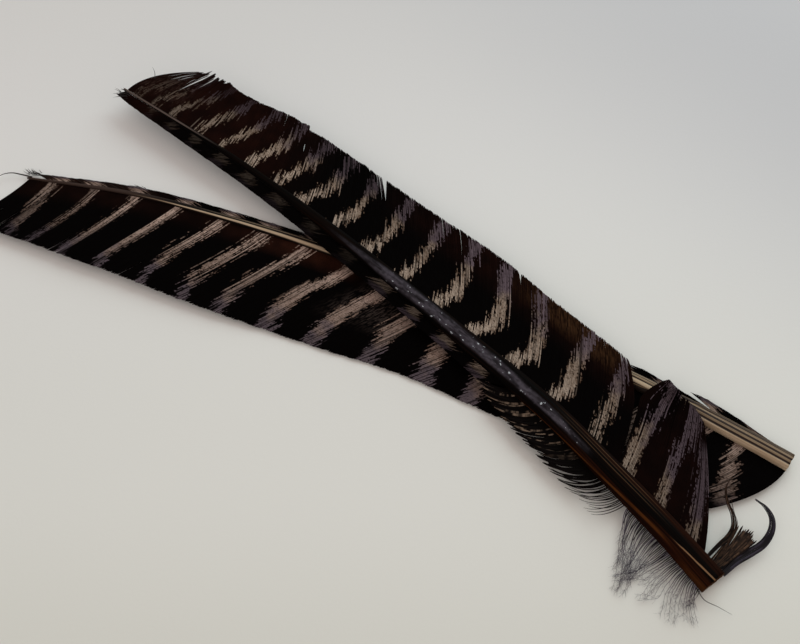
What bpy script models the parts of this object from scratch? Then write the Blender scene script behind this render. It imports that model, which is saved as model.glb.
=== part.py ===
"""Two barred wing feathers with square-cut quills, lying crossed, as separate sub-parts.

Each feather is laid out in its own flat coordinates, in millimetres: `a` runs along the
shaft from the cut base towards the tip, `w` runs across it, and `h` is the height over the
shaft's centre line.  Feather.place() turns those into a point in the part's frame, which
stands on z = 0 with its origin under the middle of the crossed pair, +X along the lower
feather's cut base and +Z up.
"""
import bpy
from math import cos, pi, sin
from mathutils import Vector

MM = 0.001
UP = Vector((0.0, 0.0, 1.0))

# Vanes and strands
VANE_THICKNESS = 0.6
ROOT_GAP = 0.6          # from a shaft's side to the inner edge of a vane
SPLIT_GAP = 0.5         # along the shaft, between two vane panels
ROW_STEP = 8.0          # largest length of one vane face along the shaft
BARB_CURVE = 0.25       # share of a barb's lean that comes late in its run

# Shafts
SHAFT_SIDES = 14
SHAFT_RINGS = 26
WALL = 0.8
CORE_GAP = 0.3
CORE_START = 1.2        # the pith is cut back this far inside the quill's mouth
HOLLOW_END = 0.55       # share of the length that is filled with pith
SQUARENESS = 0.75       # exponent of the rounded-box section

# A feather is described by curves of (share of length or millimetres, value).
UPPER = {
    "length": 290.0,
    "wide_side": 1.0,
    "spine": [
        (0.0, (110.8, -98.7, 3.5)), (0.07, (98.7, -82.3, 3.7)), (0.16, (82.7, -62.3, 4.1)),
        (0.27, (62.0, -37.5, 4.6)), (0.42, (32.7, -8.8, 5.2)), (0.58, (-2.1, 23.9, 5.9)),
        (0.74, (-38.0, 55.6, 7.0)), (0.88, (-69.2, 79.9, 8.0)), (1.0, (-97.7, 100.5, 8.6)),
    ],
    "half_width": [
        (0.0, 4.7), (0.1, 4.4), (0.2, 4.0), (0.35, 3.2), (0.5, 2.7), (0.62, 2.3),
        (0.75, 1.4), (0.88, 0.8), (1.0, 0.4),
    ],
    "half_depth": [
        (0.0, 3.3), (0.2, 2.7), (0.35, 2.3), (0.5, 1.9), (0.62, 1.6), (0.75, 1.1),
        (0.88, 0.7), (1.0, 0.35),
    ],
    "groove": 0.0,
    "wide_edge": [
        (36.0, 34.0), (46.0, 37.0), (55.0, 36.5), (65.0, 33.4), (100.0, 32.0), (130.0, 32.8),
        (165.0, 30.4), (205.0, 29.2), (225.0, 29.0), (245.0, 26.0), (262.0, 25.5), (272.0, 23.6),
    ],
    "wide_lean": [
        (5.0, 34.0), (18.0, 24.0), (32.0, 20.0), (60.0, 20.0), (100.0, 24.0), (150.0, 23.0),
        (190.0, 17.0), (215.0, 11.0), (250.0, 2.0), (272.0, -6.0), (288.0, -17.0),
    ],
    "wide_rise": [(0.0, 2.6), (0.3, 2.2), (0.6, 1.2), (1.0, 0.6)],
    "narrow_edge": [
        (90.0, 9.5), (110.0, 8.7), (150.0, 7.6), (185.0, 7.3), (250.0, 6.2), (280.0, 4.8), (292.0, 3.4),
    ],
    "narrow_lean": [(80.0, 13.0), (200.0, 11.0), (284.0, 6.0), (289.0, 2.0)],
    "narrow_rise": [(0.0, -1.0), (1.0, -0.6)],
}

LOWER = {
    "length": 302.0,
    "wide_side": -1.0,
    "spine": [
        (0.0, (142.4, -57.8, 2.5)), (0.04, (131.3, -50.3, 2.4)), (0.10, (114.9, -39.7, 2.3)),
        (0.18, (95.5, -28.0, 2.2)), (0.36, (48.0, -2.0, 1.9)), (0.585, (-11.7, 26.7, 1.6)),
        (0.72, (-50.6, 41.7, 1.2)), (0.85, (-88.7, 54.0, 0.9)), (1.0, (-132.3, 62.3, 0.6)),
    ],
    "half_width": [(0.0, 3.3), (0.2, 2.9), (0.4, 2.4), (0.6, 1.8), (0.8, 1.1), (1.0, 0.4)],
    "half_depth": [(0.0, 2.4), (0.2, 2.1), (0.4, 1.8), (0.6, 1.5), (0.8, 0.9), (1.0, 0.35)],
    "groove": 0.35,
    "wide_edge": [
        (14.0, 29.0), (60.0, 33.0), (93.0, 34.8), (130.0, 35.2), (165.0, 38.3), (200.0, 39.7),
        (225.0, 39.1), (250.0, 37.0), (270.0, 34.6), (288.0, 30.8), (303.0, 27.4), (312.0, 22.0),
    ],
    "wide_lean": [(0.0, 14.0), (40.0, 20.0), (100.0, 25.0), (200.0, 25.0), (260.0, 22.0), (299.0, 13.0)],
    "wide_rise": [(0.0, -1.2), (0.5, -0.8), (0.62, 1.2), (0.8, 2.6), (1.0, 2.4)],
    "narrow_edge": [(8.0, 4.4), (30.0, 5.6), (60.0, 5.2), (190.0, 3.6), (240.0, 3.5), (300.0, 2.4)],
    "narrow_lean": [(0.0, 10.0), (200.0, 9.0), (296.0, 5.0)],
    "narrow_rise": [(0.0, 0.3), (1.0, 0.3)],
}

# Vane panels: name, side, first and last barb root along the shaft, and how far the barb tips curl up
UPPER_PANELS = [
    ("upper_vane_base_lobe", "wide", 9.0, 33.0, 0.6),
    ("upper_vane_curled_lobe", "wide", 33.0, 48.0, 4.5),
    ("upper_vane_inner_panel", "wide", 48.0, 97.0, 0.0),
    ("upper_vane_middle_panel", "wide", 97.0, 148.0, 0.0),
    ("upper_vane_strip", "wide", 148.0, 161.0, 0.3),
    ("upper_vane_outer_panel", "wide", 161.0, 206.0, 0.0),
    ("upper_vane_tip_panel", "wide", 206.0, 288.5, 0.5),
    ("upper_narrow_vane", "narrow", 92.0, 288.5, 0.0),
]
LOWER_PANELS = [
    ("lower_vane_base_panel", "wide", 0.4, 80.0, 0.0),
    ("lower_vane_outer_panel", "wide", 80.0, 297.0, 0.0),
    ("lower_narrow_base_flap", "narrow", 2.0, 27.0, 0.0),
    ("lower_narrow_vane", "narrow", 27.0, 294.0, 0.0),
]

# Loose barbs: name, feather, half width, half thickness, and the route as (a, w, h)
STRANDS = [
    ("upper_long_strand", UPPER, 0.55, 0.45,
     [(7.0, 6.2, 0.4), (9.5, 15.7, 0.4), (9.5, 19.2, 0.6), (14.0, 21.7, 1.0), (20.0, 25.2, 1.6),
      (23.5, 27.2, 2.0)]),
    ("upper_short_strand", UPPER, 0.45, 0.4,
     [(5.2, 6.3, 0.6), (7.6, 15.2, 1.4), (8.3, 18.2, 1.8), (12.5, 19.7, 2.2), (18.5, 23.0, 2.8)]),
    ("upper_curled_strand", UPPER, 0.9, 0.4,
     [(0.8, 6.0, -0.6), (0.3, 16.2, -0.4), (0.3, 21.7, 0.2), (1.2, 26.2, 1.2), (3.6, 29.8, 2.6),
      (7.6, 30.4, 4.0), (12.0, 28.6, 4.8)]),
    ("lower_tip_hair", LOWER, 0.3, 0.3,
     [(304.5, -0.6, 0.8), (308.0, -1.2, 1.6), (311.0, 0.0, 2.2), (313.0, 2.6, 2.4)]),
]

# Flat tufts, each a fan of soft barbs: name, then its inner and outer edges as (a, w, h)
TUFTS = [
    ("upper_frayed_fan",
     [(4.0, 6.4, -0.2), (3.0, 6.5, -0.3), (2.0, 6.6, -0.4)],
     [(7.0, 19.7, 0.2), (5.2, 21.7, 0.0), (2.6, 22.8, -0.2)]),
    ("upper_barb_fringe",
     [(37.0, -4.9, -0.6), (50.0, -4.7, -0.6), (65.0, -4.4, -0.6), (78.0, -4.2, -0.6), (89.0, -4.0, -0.6)],
     [(43.0, -15.6, -1.0), (57.0, -14.8, -0.8), (71.0, -13.6, -0.8), (85.0, -12.6, -0.8),
      (98.0, -9.6, -0.8)]),
    ("upper_down_tuft",
     [(1.0, -5.5, -1.2), (9.0, -5.4, -1.3), (17.0, -5.3, -1.3), (26.0, -5.1, -1.3), (34.5, -5.0, -1.3)],
     [(-3.0, -17.0, -2.0), (4.0, -25.0, -2.2), (13.0, -30.0, -2.4), (21.0, -27.0, -2.4),
      (29.0, -15.0, -2.0)]),
]
TUFT_COLUMNS = 4

COLOURS = {
    "upper_cortex": ((0.028, 0.016, 0.010), 0.35),
    "lower_cortex": ((0.58, 0.47, 0.33), 0.45),
    "pith": ((0.80, 0.76, 0.68), 0.85),
    "upper_vane": ((0.045, 0.030, 0.024), 0.62),
    "lower_vane": ((0.060, 0.042, 0.034), 0.62),
    "down": ((0.16, 0.14, 0.15), 0.85),
    "loose_barb": ((0.040, 0.028, 0.022), 0.55),
}


def smooth_curve(stations):
    """A function that runs smoothly through (position, value) stations and holds its ends."""
    xs = [x for x, _ in stations]
    vs = [Vector(v) if isinstance(v, tuple) else v for _, v in stations]
    last = len(xs) - 1

    def slope(i):
        lo, hi = max(i - 1, 0), min(i + 1, last)
        return (vs[hi] - vs[lo]) / (xs[hi] - xs[lo])

    def value(x):
        x = min(max(x, xs[0]), xs[-1])
        i = 0
        while i < last - 1 and x > xs[i + 1]:
            i += 1
        step = xs[i + 1] - xs[i]
        s = (x - xs[i]) / step
        return (vs[i] * (2 * s**3 - 3 * s**2 + 1) + slope(i) * step * (s**3 - 2 * s**2 + s)
                + vs[i + 1] * (3 * s**2 - 2 * s**3) + slope(i + 1) * step * (s**3 - s**2))

    return value


class Feather:
    """One feather's shape: its shaft's path and section, and the outline of its vanes."""

    def __init__(self, shape):
        self.length = shape["length"]
        self.wide_side = shape["wide_side"]
        self.groove = shape["groove"]
        self.spine = smooth_curve(shape["spine"])
        self.half_width = smooth_curve(shape["half_width"])
        self.half_depth = smooth_curve(shape["half_depth"])
        self.edge = {side: smooth_curve(shape[side + "_edge"]) for side in ("wide", "narrow")}
        self.lean = {side: smooth_curve(shape[side + "_lean"]) for side in ("wide", "narrow")}
        self.rise = {side: smooth_curve(shape[side + "_rise"]) for side in ("wide", "narrow")}

    def frame(self, a):
        """Centre point, direction to the tip, direction to the wide vane, and up."""
        t = min(max(a / self.length, 0.0), 1.0)
        near, far = max(t - 0.01, 0.0), min(t + 0.01, 1.0)
        tangent = (self.spine(far) - self.spine(near)).normalized()
        side = tangent.cross(UP).normalized() * self.wide_side
        up = (UP - tangent * tangent.z).normalized()
        centre = self.spine(t) + tangent * (a - t * self.length)
        return centre, tangent, side, up

    def place(self, a, w, h):
        centre, _, side, up = self.frame(a)
        return (centre + side * w + up * h) * MM

    def barb(self, side, root, u, curl=0.0):
        """Place a point at share u of the barb that grows from `root` millimetres."""
        lean = self.lean[side](root)
        sign = 1.0 if side == "wide" else -1.0
        inner = self.half_width(root / self.length) + ROOT_GAP
        outer = self.edge[side](root + lean)
        a = root + lean * ((1.0 - BARB_CURVE) * u + BARB_CURVE * u * u)
        w = inner + (outer - inner) * u
        h = self.rise[side](root / self.length) * u**1.5 + curl * u**4
        return self.place(a, w * sign, h)


def material(slot):
    found = bpy.data.materials.get(slot)
    if found:
        return found
    colour, roughness = COLOURS[slot]
    made = bpy.data.materials.new(slot)
    made.use_nodes = True
    shader = made.node_tree.nodes["Principled BSDF"]
    shader.inputs["Base Color"].default_value = (*colour, 1.0)
    shader.inputs["Roughness"].default_value = roughness
    shader.inputs["Metallic"].default_value = 0.0
    return made


def add_object(name, verts, faces, slot, origin=None):
    """Make one object; `origin` is a point on its joint's axis, if it moves."""
    origin = origin or Vector((0.0, 0.0, 0.0))
    mesh = bpy.data.meshes.new(name)
    mesh.from_pydata([v - origin for v in verts], [], faces)
    mesh.materials.append(material(slot))
    mesh.shade_smooth()
    mesh.set_sharp_from_angle(angle=pi / 4)
    obj = bpy.data.objects.new(name, mesh)
    obj.location = origin
    bpy.context.collection.objects.link(obj)
    return obj


def ring_faces(rings, sides):
    """Quads that join each ring to the next, facing out for rings that turn left about the run."""
    return [
        (r * sides + i, r * sides + (i + 1) % sides, (r + 1) * sides + (i + 1) % sides, (r + 1) * sides + i)
        for r in range(rings - 1) for i in range(sides)
    ]


def oriented(feather, faces):
    """Sections turn the other way on a feather whose wide vane is on its right, so flip the faces."""
    return [tuple(reversed(face)) for face in faces] if feather.wide_side > 0 else faces


def section(feather, a, shrink, groove):
    """Points around the shaft: a rounded box, with a groove along its top."""
    t = a / feather.length
    half_width = feather.half_width(t) - shrink
    half_depth = feather.half_depth(t) - shrink
    points = []
    for i in range(SHAFT_SIDES):
        angle = 2 * pi * (i + 0.5) / SHAFT_SIDES
        c, s = cos(angle), sin(angle)
        w = half_width * abs(c) ** SQUARENESS * (1 if c > 0 else -1)
        h = half_depth * abs(s) ** SQUARENESS * (1 if s > 0 else -1)
        if s > 0 and abs(c) < 0.3:
            h -= groove * (1.0 - t)
        points.append(feather.place(a, w, h))
    return points


def stations(start, end, count):
    return [start + (end - start) * i / (count - 1) for i in range(count)]


def make_shaft(name, feather, slot):
    """The horny cortex: a tapering tube, open at the cut base and closed towards the tip."""
    outer = [p for a in stations(0.0, feather.length, SHAFT_RINGS)
             for p in section(feather, a, 0.0, feather.groove)]
    hollow_rings = SHAFT_RINGS // 2
    inner = [p for a in stations(0.0, feather.length * HOLLOW_END, hollow_rings)
             for p in section(feather, a, WALL, 0.0)]
    sides = SHAFT_SIDES
    first_inner = len(outer)
    faces = ring_faces(SHAFT_RINGS, sides)
    faces.append(tuple(range((SHAFT_RINGS - 1) * sides, SHAFT_RINGS * sides)))
    faces += [tuple(first_inner + i for i in reversed(face)) for face in ring_faces(hollow_rings, sides)]
    last = first_inner + (hollow_rings - 1) * sides
    faces.append(tuple(range(last + sides - 1, last - 1, -1)))
    faces += [(i, first_inner + i, first_inner + (i + 1) % sides, (i + 1) % sides) for i in range(sides)]
    add_object(name, outer + inner, oriented(feather, faces), slot)


def make_pith(name, feather):
    """The foamy core inside the quill, set back a little from its mouth."""
    end = feather.length * HOLLOW_END - CORE_START
    rings = SHAFT_RINGS // 2
    verts = [p for a in stations(CORE_START, end, rings) for p in section(feather, a, WALL + CORE_GAP, 0.0)]
    faces = ring_faces(rings, SHAFT_SIDES)
    faces.append(tuple(range(SHAFT_SIDES - 1, -1, -1)))
    faces.append(tuple(range((rings - 1) * SHAFT_SIDES, rings * SHAFT_SIDES)))
    add_object(name, verts, oriented(feather, faces), "pith")


def make_plate(name, rows, slot, flip, origin=None):
    """A thin closed plate over rows of points, thickened up and down from them."""
    columns = len(rows[0])
    half = UP * (VANE_THICKNESS * MM / 2)
    flat = [p for row in rows for p in row]
    verts = [p + half for p in flat] + [p - half for p in flat]
    below = len(flat)

    def at(r, c):
        return r * columns + c

    faces = []
    for r in range(len(rows) - 1):
        for c in range(columns - 1):
            quad = (at(r, c), at(r, c + 1), at(r + 1, c + 1), at(r + 1, c))
            faces.append(quad)
            faces.append(tuple(below + i for i in reversed(quad)))
    last = len(rows) - 1
    rim = ([at(0, c) for c in range(columns - 1)] + [at(r, columns - 1) for r in range(last)]
           + [at(last, c) for c in range(columns - 1, 0, -1)] + [at(r, 0) for r in range(last, 0, -1)])
    for i, here in enumerate(rim):
        ahead = rim[(i + 1) % len(rim)]
        faces.append((here, below + here, below + ahead, ahead))
    if flip:
        faces = [tuple(reversed(face)) for face in faces]
    add_object(name, verts, faces, slot, origin)


def make_panel(feather, name, side, first, last, curl, slot, fixed):
    """One stretch of vane whose barbs hold together, between two splits."""
    start, end = first + SPLIT_GAP / 2, last - SPLIT_GAP / 2
    row_count = 1 + max(2, round((end - start) / ROW_STEP))
    columns = 7 if side == "wide" else 3
    rows = [[feather.barb(side, root, c / (columns - 1), curl) for c in range(columns)]
            for root in stations(start, end, row_count)]
    hinge = None if fixed else (rows[0][0] + rows[-1][0]) / 2
    on_right = (feather.wide_side > 0) == (side == "wide")
    make_plate(name, rows, slot, not on_right, hinge)


def make_tuft(name, feather, inner, outer, slot):
    """A fan of soft barbs as one flat plate from the shaft's side to the barbs' ends."""
    rows = []
    for near, far in zip(inner, outer):
        near, far = Vector(near), Vector(far)
        rows.append([feather.place(*near.lerp(far, c / (TUFT_COLUMNS - 1))) for c in range(TUFT_COLUMNS)])
    on_right = (feather.wide_side > 0) == (inner[0][1] > 0)
    if inner[0][0] > inner[-1][0]:
        on_right = not on_right
    make_plate(name, rows, slot, not on_right, (rows[0][0] + rows[-1][0]) / 2)


def make_strand(name, feather, half_width, half_thickness, route):
    """A loose barb: a flattened tube along a smooth route."""
    path = smooth_curve(list(enumerate(route)))
    count = 3 * (len(route) - 1) + 1
    points = [feather.place(*path(x)) for x in stations(0.0, len(route) - 1.0, count)]
    sides = 6
    verts = []
    for i, point in enumerate(points):
        ahead = (points[min(i + 1, count - 1)] - points[max(i - 1, 0)]).normalized()
        across = ahead.cross(UP).normalized()
        over = across.cross(ahead)
        taper = 1.0 - 0.5 * i / (count - 1)
        for k in range(sides):
            angle = 2 * pi * k / sides
            verts.append(point + across * (half_width * taper * cos(angle) * MM)
                         + over * (half_thickness * sin(angle) * MM))
    faces = [tuple(reversed(face)) for face in ring_faces(count, sides)]
    faces.append(tuple(range(sides)))
    faces.append(tuple(range(count * sides - 1, (count - 1) * sides - 1, -1)))
    add_object(name, verts, faces, "loose_barb", points[0])


def main():
    for obj in list(bpy.data.objects):
        bpy.data.objects.remove(obj, do_unlink=True)
    upper, lower = Feather(UPPER), Feather(LOWER)
    make_shaft("upper_shaft", upper, "upper_cortex")
    make_pith("upper_pith", upper)
    make_shaft("lower_shaft", lower, "lower_cortex")
    make_pith("lower_pith", lower)
    for name, side, first, last, curl in UPPER_PANELS:
        make_panel(upper, name, side, first, last, curl, "upper_vane", side == "narrow")
    for name, side, first, last, curl in LOWER_PANELS:
        make_panel(lower, name, side, first, last, curl, "lower_vane", True)
    for name, inner, outer in TUFTS:
        slot = "loose_barb" if name == "upper_frayed_fan" else "down"
        make_tuft(name, upper, inner, outer, slot)
    for name, shape, half_width, half_thickness, route in STRANDS:
        make_strand(name, upper if shape is UPPER else lower, half_width, half_thickness, route)


main()
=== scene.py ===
"""Looks of the crossed pair of barred wing feathers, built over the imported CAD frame.

Every vane panel becomes rows of separate barbs, the shafts get their ridges, stripes and
chipped mouths, and the tufts and loose barbs become single strands.  A feather is laid out
in its own flat coordinates, in millimetres, as in the CAD: `a` runs along the shaft from
the cut, `w` across it (positive towards the wide vane) and `h` over its centre line.
"""

from math import cos, pi, radians, sin

import bmesh
import bpy
import numpy as np
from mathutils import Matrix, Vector


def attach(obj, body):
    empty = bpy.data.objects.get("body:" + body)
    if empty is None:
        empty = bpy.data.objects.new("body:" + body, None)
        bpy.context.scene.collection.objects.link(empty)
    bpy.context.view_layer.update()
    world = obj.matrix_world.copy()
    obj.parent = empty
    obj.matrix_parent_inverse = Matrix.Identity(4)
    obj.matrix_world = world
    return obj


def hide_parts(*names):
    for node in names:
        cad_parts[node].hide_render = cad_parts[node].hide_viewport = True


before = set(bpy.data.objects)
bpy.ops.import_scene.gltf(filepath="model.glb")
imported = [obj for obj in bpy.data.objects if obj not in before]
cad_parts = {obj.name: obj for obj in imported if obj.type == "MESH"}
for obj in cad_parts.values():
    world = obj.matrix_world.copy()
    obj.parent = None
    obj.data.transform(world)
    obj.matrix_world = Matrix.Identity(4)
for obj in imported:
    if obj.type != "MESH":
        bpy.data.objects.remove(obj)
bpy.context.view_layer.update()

MM = 0.001
UP = np.array([0.0, 0.0, 1.0])
BARB_CURVE = 0.25        # share of a barb's lean that comes late in its run
ROOT_GAP = 0.6           # from a shaft's side to the first point of a barb
BARB_STEP = 0.5          # between neighbouring barbs, along the shaft
BARB_OVERLAP = {"wide": 1.6, "narrow": 2.2}  # a barb's width over its distance to the next
BARB_RIDGE = {"wide": 0.07, "narrow": 0.035}  # how far a barb's middle stands up
BARB_TILT = {"wide": 0.05, "narrow": 0.03}    # how far its edges are turned, like shingles
LAST_STEP = 0.022        # share of a barb in which its end narrows
ROLL_START = 35.3        # distance from the shaft at which the curled lobe turns up
ROLL_RADIUS = 1.8
SHAFT_SIDES = 56
SHAFT_STEP = 1.5         # between a shaft's rings
WALL = 0.8
CORE_GAP = 0.3
CORE_START = 1.2
HOLLOW_END = 0.55
SQUARENESS = 0.75
RAGGED = {"wide": 0.10, "narrow": 0.03}       # how unevenly single barbs end
WAVY = {"wide": 0.22, "narrow": 0.10}         # the same for groups of barbs
BLACK = (0.0010, 0.0006, 0.0006)

# The two feathers' shapes, as in the CAD: curves of (share of length or millimetres, value)
UPPER = {
    "length": 290,
    "wide_side": 1,
    "spine": [
        (0, (110.8, -98.7, 3.5)), (0.07, (98.7, -82.3, 3.7)), (0.16, (82.7, -62.3, 4.1)),
        (0.27, (62, -37.5, 4.6)), (0.42, (32.7, -8.8, 5.2)), (0.58, (-2.1, 23.9, 5.9)),
        (0.74, (-38, 55.6, 7)), (0.88, (-69.2, 79.9, 8)), (1, (-97.7, 100.5, 8.6)),
    ],
    "half_width": [
        (0, 4.7), (0.1, 4.4), (0.2, 4), (0.35, 3.2), (0.5, 2.7), (0.62, 2.3),
        (0.75, 1.4), (0.88, 0.8), (1, 0.4),
    ],
    "half_depth": [
        (0, 3.3), (0.2, 2.7), (0.35, 2.3), (0.5, 1.9), (0.62, 1.6), (0.75, 1.1),
        (0.88, 0.7), (1, 0.35),
    ],
    "wide_edge": [
        (36, 34), (46, 37), (55, 36.5), (65, 33.4), (100, 32), (130, 32.8),
        (165, 30.4), (205, 29.2), (225, 29), (245, 26), (262, 25.5), (272, 23.6),
    ],
    "wide_lean": [
        (5, 34), (18, 24), (32, 20), (60, 20), (100, 24), (150, 23),
        (190, 17), (215, 11), (250, 2), (272, -6), (288, -17),
    ],
    "wide_rise": [(0, 2.6), (0.3, 2.2), (0.6, 1.2), (1, 0.6)],
    "narrow_edge": [
        (90, 9.5), (110, 8.7), (150, 7.6), (185, 7.3), (250, 6.2), (280, 4.8), (292, 3.4),
    ],
    "narrow_lean": [(80, 13), (200, 11), (284, 6), (289, 2)],
    "narrow_rise": [(0, -1), (1, -0.6)],
}
LOWER = {
    "length": 302,
    "wide_side": -1,
    "spine": [
        (0, (142.4, -57.8, 2.5)), (0.04, (131.3, -50.3, 2.4)), (0.10, (114.9, -39.7, 2.3)),
        (0.18, (95.5, -28, 2.2)), (0.36, (48, -2, 1.9)), (0.585, (-11.7, 26.7, 1.6)),
        (0.72, (-50.6, 41.7, 1.2)), (0.85, (-88.7, 54, 0.9)), (1, (-132.3, 62.3, 0.6)),
    ],
    "half_width": [(0, 3.3), (0.2, 2.9), (0.4, 2.4), (0.6, 1.8), (0.8, 1.1), (1, 0.4)],
    "half_depth": [(0, 2.4), (0.2, 2.1), (0.4, 1.8), (0.6, 1.5), (0.8, 0.9), (1, 0.35)],
    "wide_edge": [
        (14, 29), (60, 33), (93, 34.8), (130, 35.2), (165, 38.3), (200, 39.7),
        (225, 39.1), (250, 37), (270, 34.6), (288, 30.8), (303, 27.4), (312, 22),
    ],
    "wide_lean": [(0, 14), (40, 20), (100, 25), (200, 25), (260, 22), (299, 13)],
    "wide_rise": [(0, -1.2), (0.5, -0.8), (0.62, 1.2), (0.8, 2.6), (1, 2.4)],
    "narrow_edge": [(8, 4.4), (30, 5.6), (60, 5.2), (190, 3.6), (240, 3.5), (300, 2.4)],
    "narrow_lean": [(0, 10), (200, 9), (296, 5)],
    "narrow_rise": [(0, 0.3), (1, 0.3)],
}

# Vane panels: name, body, side, first and last barb root, and how far the barb ends roll up.
# The lower outer panel ends 4 mm nearer to the tip than the CAD's, as in the real feather.
UPPER_PANELS = [
    ("upper_vane_base_lobe", "base_lobe", "wide", 9, 33, 0.6),
    ("upper_vane_curled_lobe", "curled_lobe", "wide", 33, 48, 4.5),
    ("upper_vane_inner_panel", "inner_panel", "wide", 48, 97, 0),
    ("upper_vane_middle_panel", "middle_panel", "wide", 97, 148, 0),
    ("upper_vane_strip", "vane_strip", "wide", 148, 161, 0.3),
    ("upper_vane_outer_panel", "outer_panel", "wide", 161, 206, 0),
    ("upper_vane_tip_panel", "tip_panel", "wide", 206, 288.5, 0.5),
    ("upper_narrow_vane", "upper_feather", "narrow", 92, 288.5, 0),
]
LOWER_PANELS = [
    ("lower_vane_base_panel", "lower_feather", "wide", 0.4, 80, 0),
    ("lower_vane_outer_panel", "lower_feather", "wide", 80, 301, 0),
    ("lower_narrow_base_flap", "lower_feather", "narrow", 2, 27, 0),
    ("lower_narrow_vane", "lower_feather", "narrow", 27, 294, 0),
]

# Splits in the upper wide vane: root, share where it opens, share where it closes (above 1: it
# stays open), sideways shift of the barbs before and after it, and how far along its pull reaches
SPLITS = [
    (33, 0.70, 9, -0.6, 0.3, 4),
    (48, 0.67, 9, -8, 3.2, 9),
    (97, 0.90, 9, -0.5, 0.5, 2),
    (145, 0.68, 0.88, -0.25, 0.25, 1.5),
    (161, 0.74, 9, -1, 1.1, 4),
    (169, 0.94, 9, -0.4, 0.4, 1.5),
    (206, 0.58, 0.82, -0.55, 0.55, 3),
    (273, 0.75, 9, -0.2, 0.25, 2),
]
# How much longer or shorter than the even outline the frayed barbs end: (root, millimetres)
UPPER_FRAY = [
    (32.9, 0), (33.1, 0.5), (34.5, 2.4), (36, 5.2), (38, 7.1), (40.5, 7.2), (43, 6.2), (46, 4.6),
    (47.9, 3.2), (48.1, 0),
    (196, 0), (205.9, -1), (206.1, 0.5), (212, 0), (250, 0), (256, 0.4), (259.5, 1.4),
    (260.4, -0.8), (262, 0.4), (264, 1), (264.6, -1.2), (266, 0.2), (267.2, 1.2), (267.8, -2.4),
    (268.8, -2.8), (269.4, 0.4), (271.2, 2.4), (271.8, -1), (272.6, -3.2), (273.6, -3.4), (274.2, -0.6),
    (275.4, 2.4), (276, -0.4), (277, 0.6), (277.6, -1.4), (279, 1), (279.6, -1), (281, 1), (281.8, -1),
    (284, 0.6), (286, -0.4), (288.5, 0),
]
LOWER_FRAY = [(0, 0), (285, 0), (290, 0.8), (292, -0.5), (296, 0.3), (301, -0.5)]
LOWER_NARROW_FRAY = [(2, -0.9), (8, 0), (20, 0.7), (26.9, 0.3), (27.1, -1.1), (36, -0.7), (46, 0.3),
                     (56, -0.4), (62, 0)]

# Bars, read off the real feathers: where each starts at the shaft, and how far its middle has
# moved towards the tip at some distances across the vane, as curves of the starting place
UPPER_BARS = {
    "roots": [14.8, 28.5, 43.5, 59, 79.5, 100, 118, 134.8, 151.2, 167.5, 183.4, 199.2, 212, 225.8,
              240.2, 253.6, 266.5, 276, 283.5],
    "start": 4,
    "moves": [
        (10, [(14, 3.7), (28, 3), (43, 3.2), (59, 3.4), (79, -2.2), (100, -4.4), (118, -4), (134, -2),
                (151, -1.2), (183, -1.6), (199, -3.2), (225, -2.6), (253, -3.4), (283, -4)]),
        (16, [(14, 8.2), (28, 6.6), (43, 5.6), (59, 5.5), (79, 1), (100, -3), (118, -2.2), (134, -1.2),
                (151, -0.6), (183, -1.6), (199, -4.2), (225, -4.4), (253, -6.2), (283, -7)]),
        (22, [(14, 12.6), (28, 9.2), (43, 7.4), (59, 8.2), (79, 3.6), (100, 0.6), (118, 1.4), (134, 1.6),
                (151, 1.2), (183, -0.2), (199, -3), (225, -5), (253, -8.4), (283, -11)]),
        (30, [(14, 20), (28, 12), (43, 9.6), (59, 12.4), (79, 5), (100, 7.8), (118, 7), (134, 5),
                (151, 2.6), (183, 0.6), (199, -2), (225, -5.2), (253, -11), (283, -15)]),
        (37, [(14, 24), (28, 16.5), (43, 12), (59, 13.4), (79, 6), (100, 9), (283, -18)]),
    ],
    "half": [(14, 2.7), (28, 2.2), (60, 2), (80, 2.4), (100, 2.8), (118, 2.7), (140, 2.3), (183, 2.1),
             (225, 1.9), (253, 1.6), (283, 1.3)],
    "strength": [(14, 0.62), (28, 0.7), (60, 0.8), (100, 1), (226, 1), (240, 0.8), (253, 0.65), (266, 0.4),
                 (283, 0.15)],
    "ends": [(14, 27), (24, 60), (283, 60)],
}
LOWER_BARS = {
    "roots": [16, 27, 44, 61, 78, 97, 115, 131.5, 149.5, 168, 187.3, 204, 222, 239.5,
              257, 273.5, 291],
    "start": 3,
    "moves": [
        (10, [(16, -1.5), (27, 3), (168, 4), (222, 4), (257, 3), (273, 2.5), (291, 2.5)]),
        (20, [(16, -4), (27, 5), (115, 8), (131, 10.5), (149, 12), (168, 13), (187, 12.2), (222, 10.6),
                (257, 10.4), (273, 9.5), (291, 6)]),
        (30, [(16, -4), (27, 6), (115, 8.5), (131, 13.5), (149, 17), (168, 18), (187, 18), (204, 16.8),
                (222, 15), (239, 17.5), (257, 19), (273, 17), (291, 8.5)]),
        (38, [(16, -4), (27, 6), (115, 8.5), (131, 15), (149, 18.5), (168, 19.5), (187, 19), (204, 17.4),
                (222, 17), (239, 20), (257, 20), (291, 9)]),
    ],
    "half": [(16, 2.6), (100, 3.2), (131, 3), (168, 2.6), (187, 2.3), (222, 2.1), (257, 2.1), (273, 1.8),
             (291, 2.4)],
    "strength": [(16, 0.6), (44, 0.95), (240, 1), (257, 0.9), (273, 0.6), (291, 0.5)],
    "ends": [(16, 26), (27, 11), (44, 60), (291, 60)],
}
UPPER_NARROW_BARS = {
    "roots": [104, 121, 137, 153, 170, 188, 205, 221, 236.5, 250.5, 263, 273],
    "start": 2,
    "moves": [(9, [(104, 3), (273, 2)])],
    "half": [(104, 3.4), (205, 3.2), (250, 2.4), (273, 1.8)],
    "strength": [(104, 0.45), (150, 0.25), (168, 0.05), (190, 0.06), (205, 0.09), (236, 0.11), (273, 0.08)],
}
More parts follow.
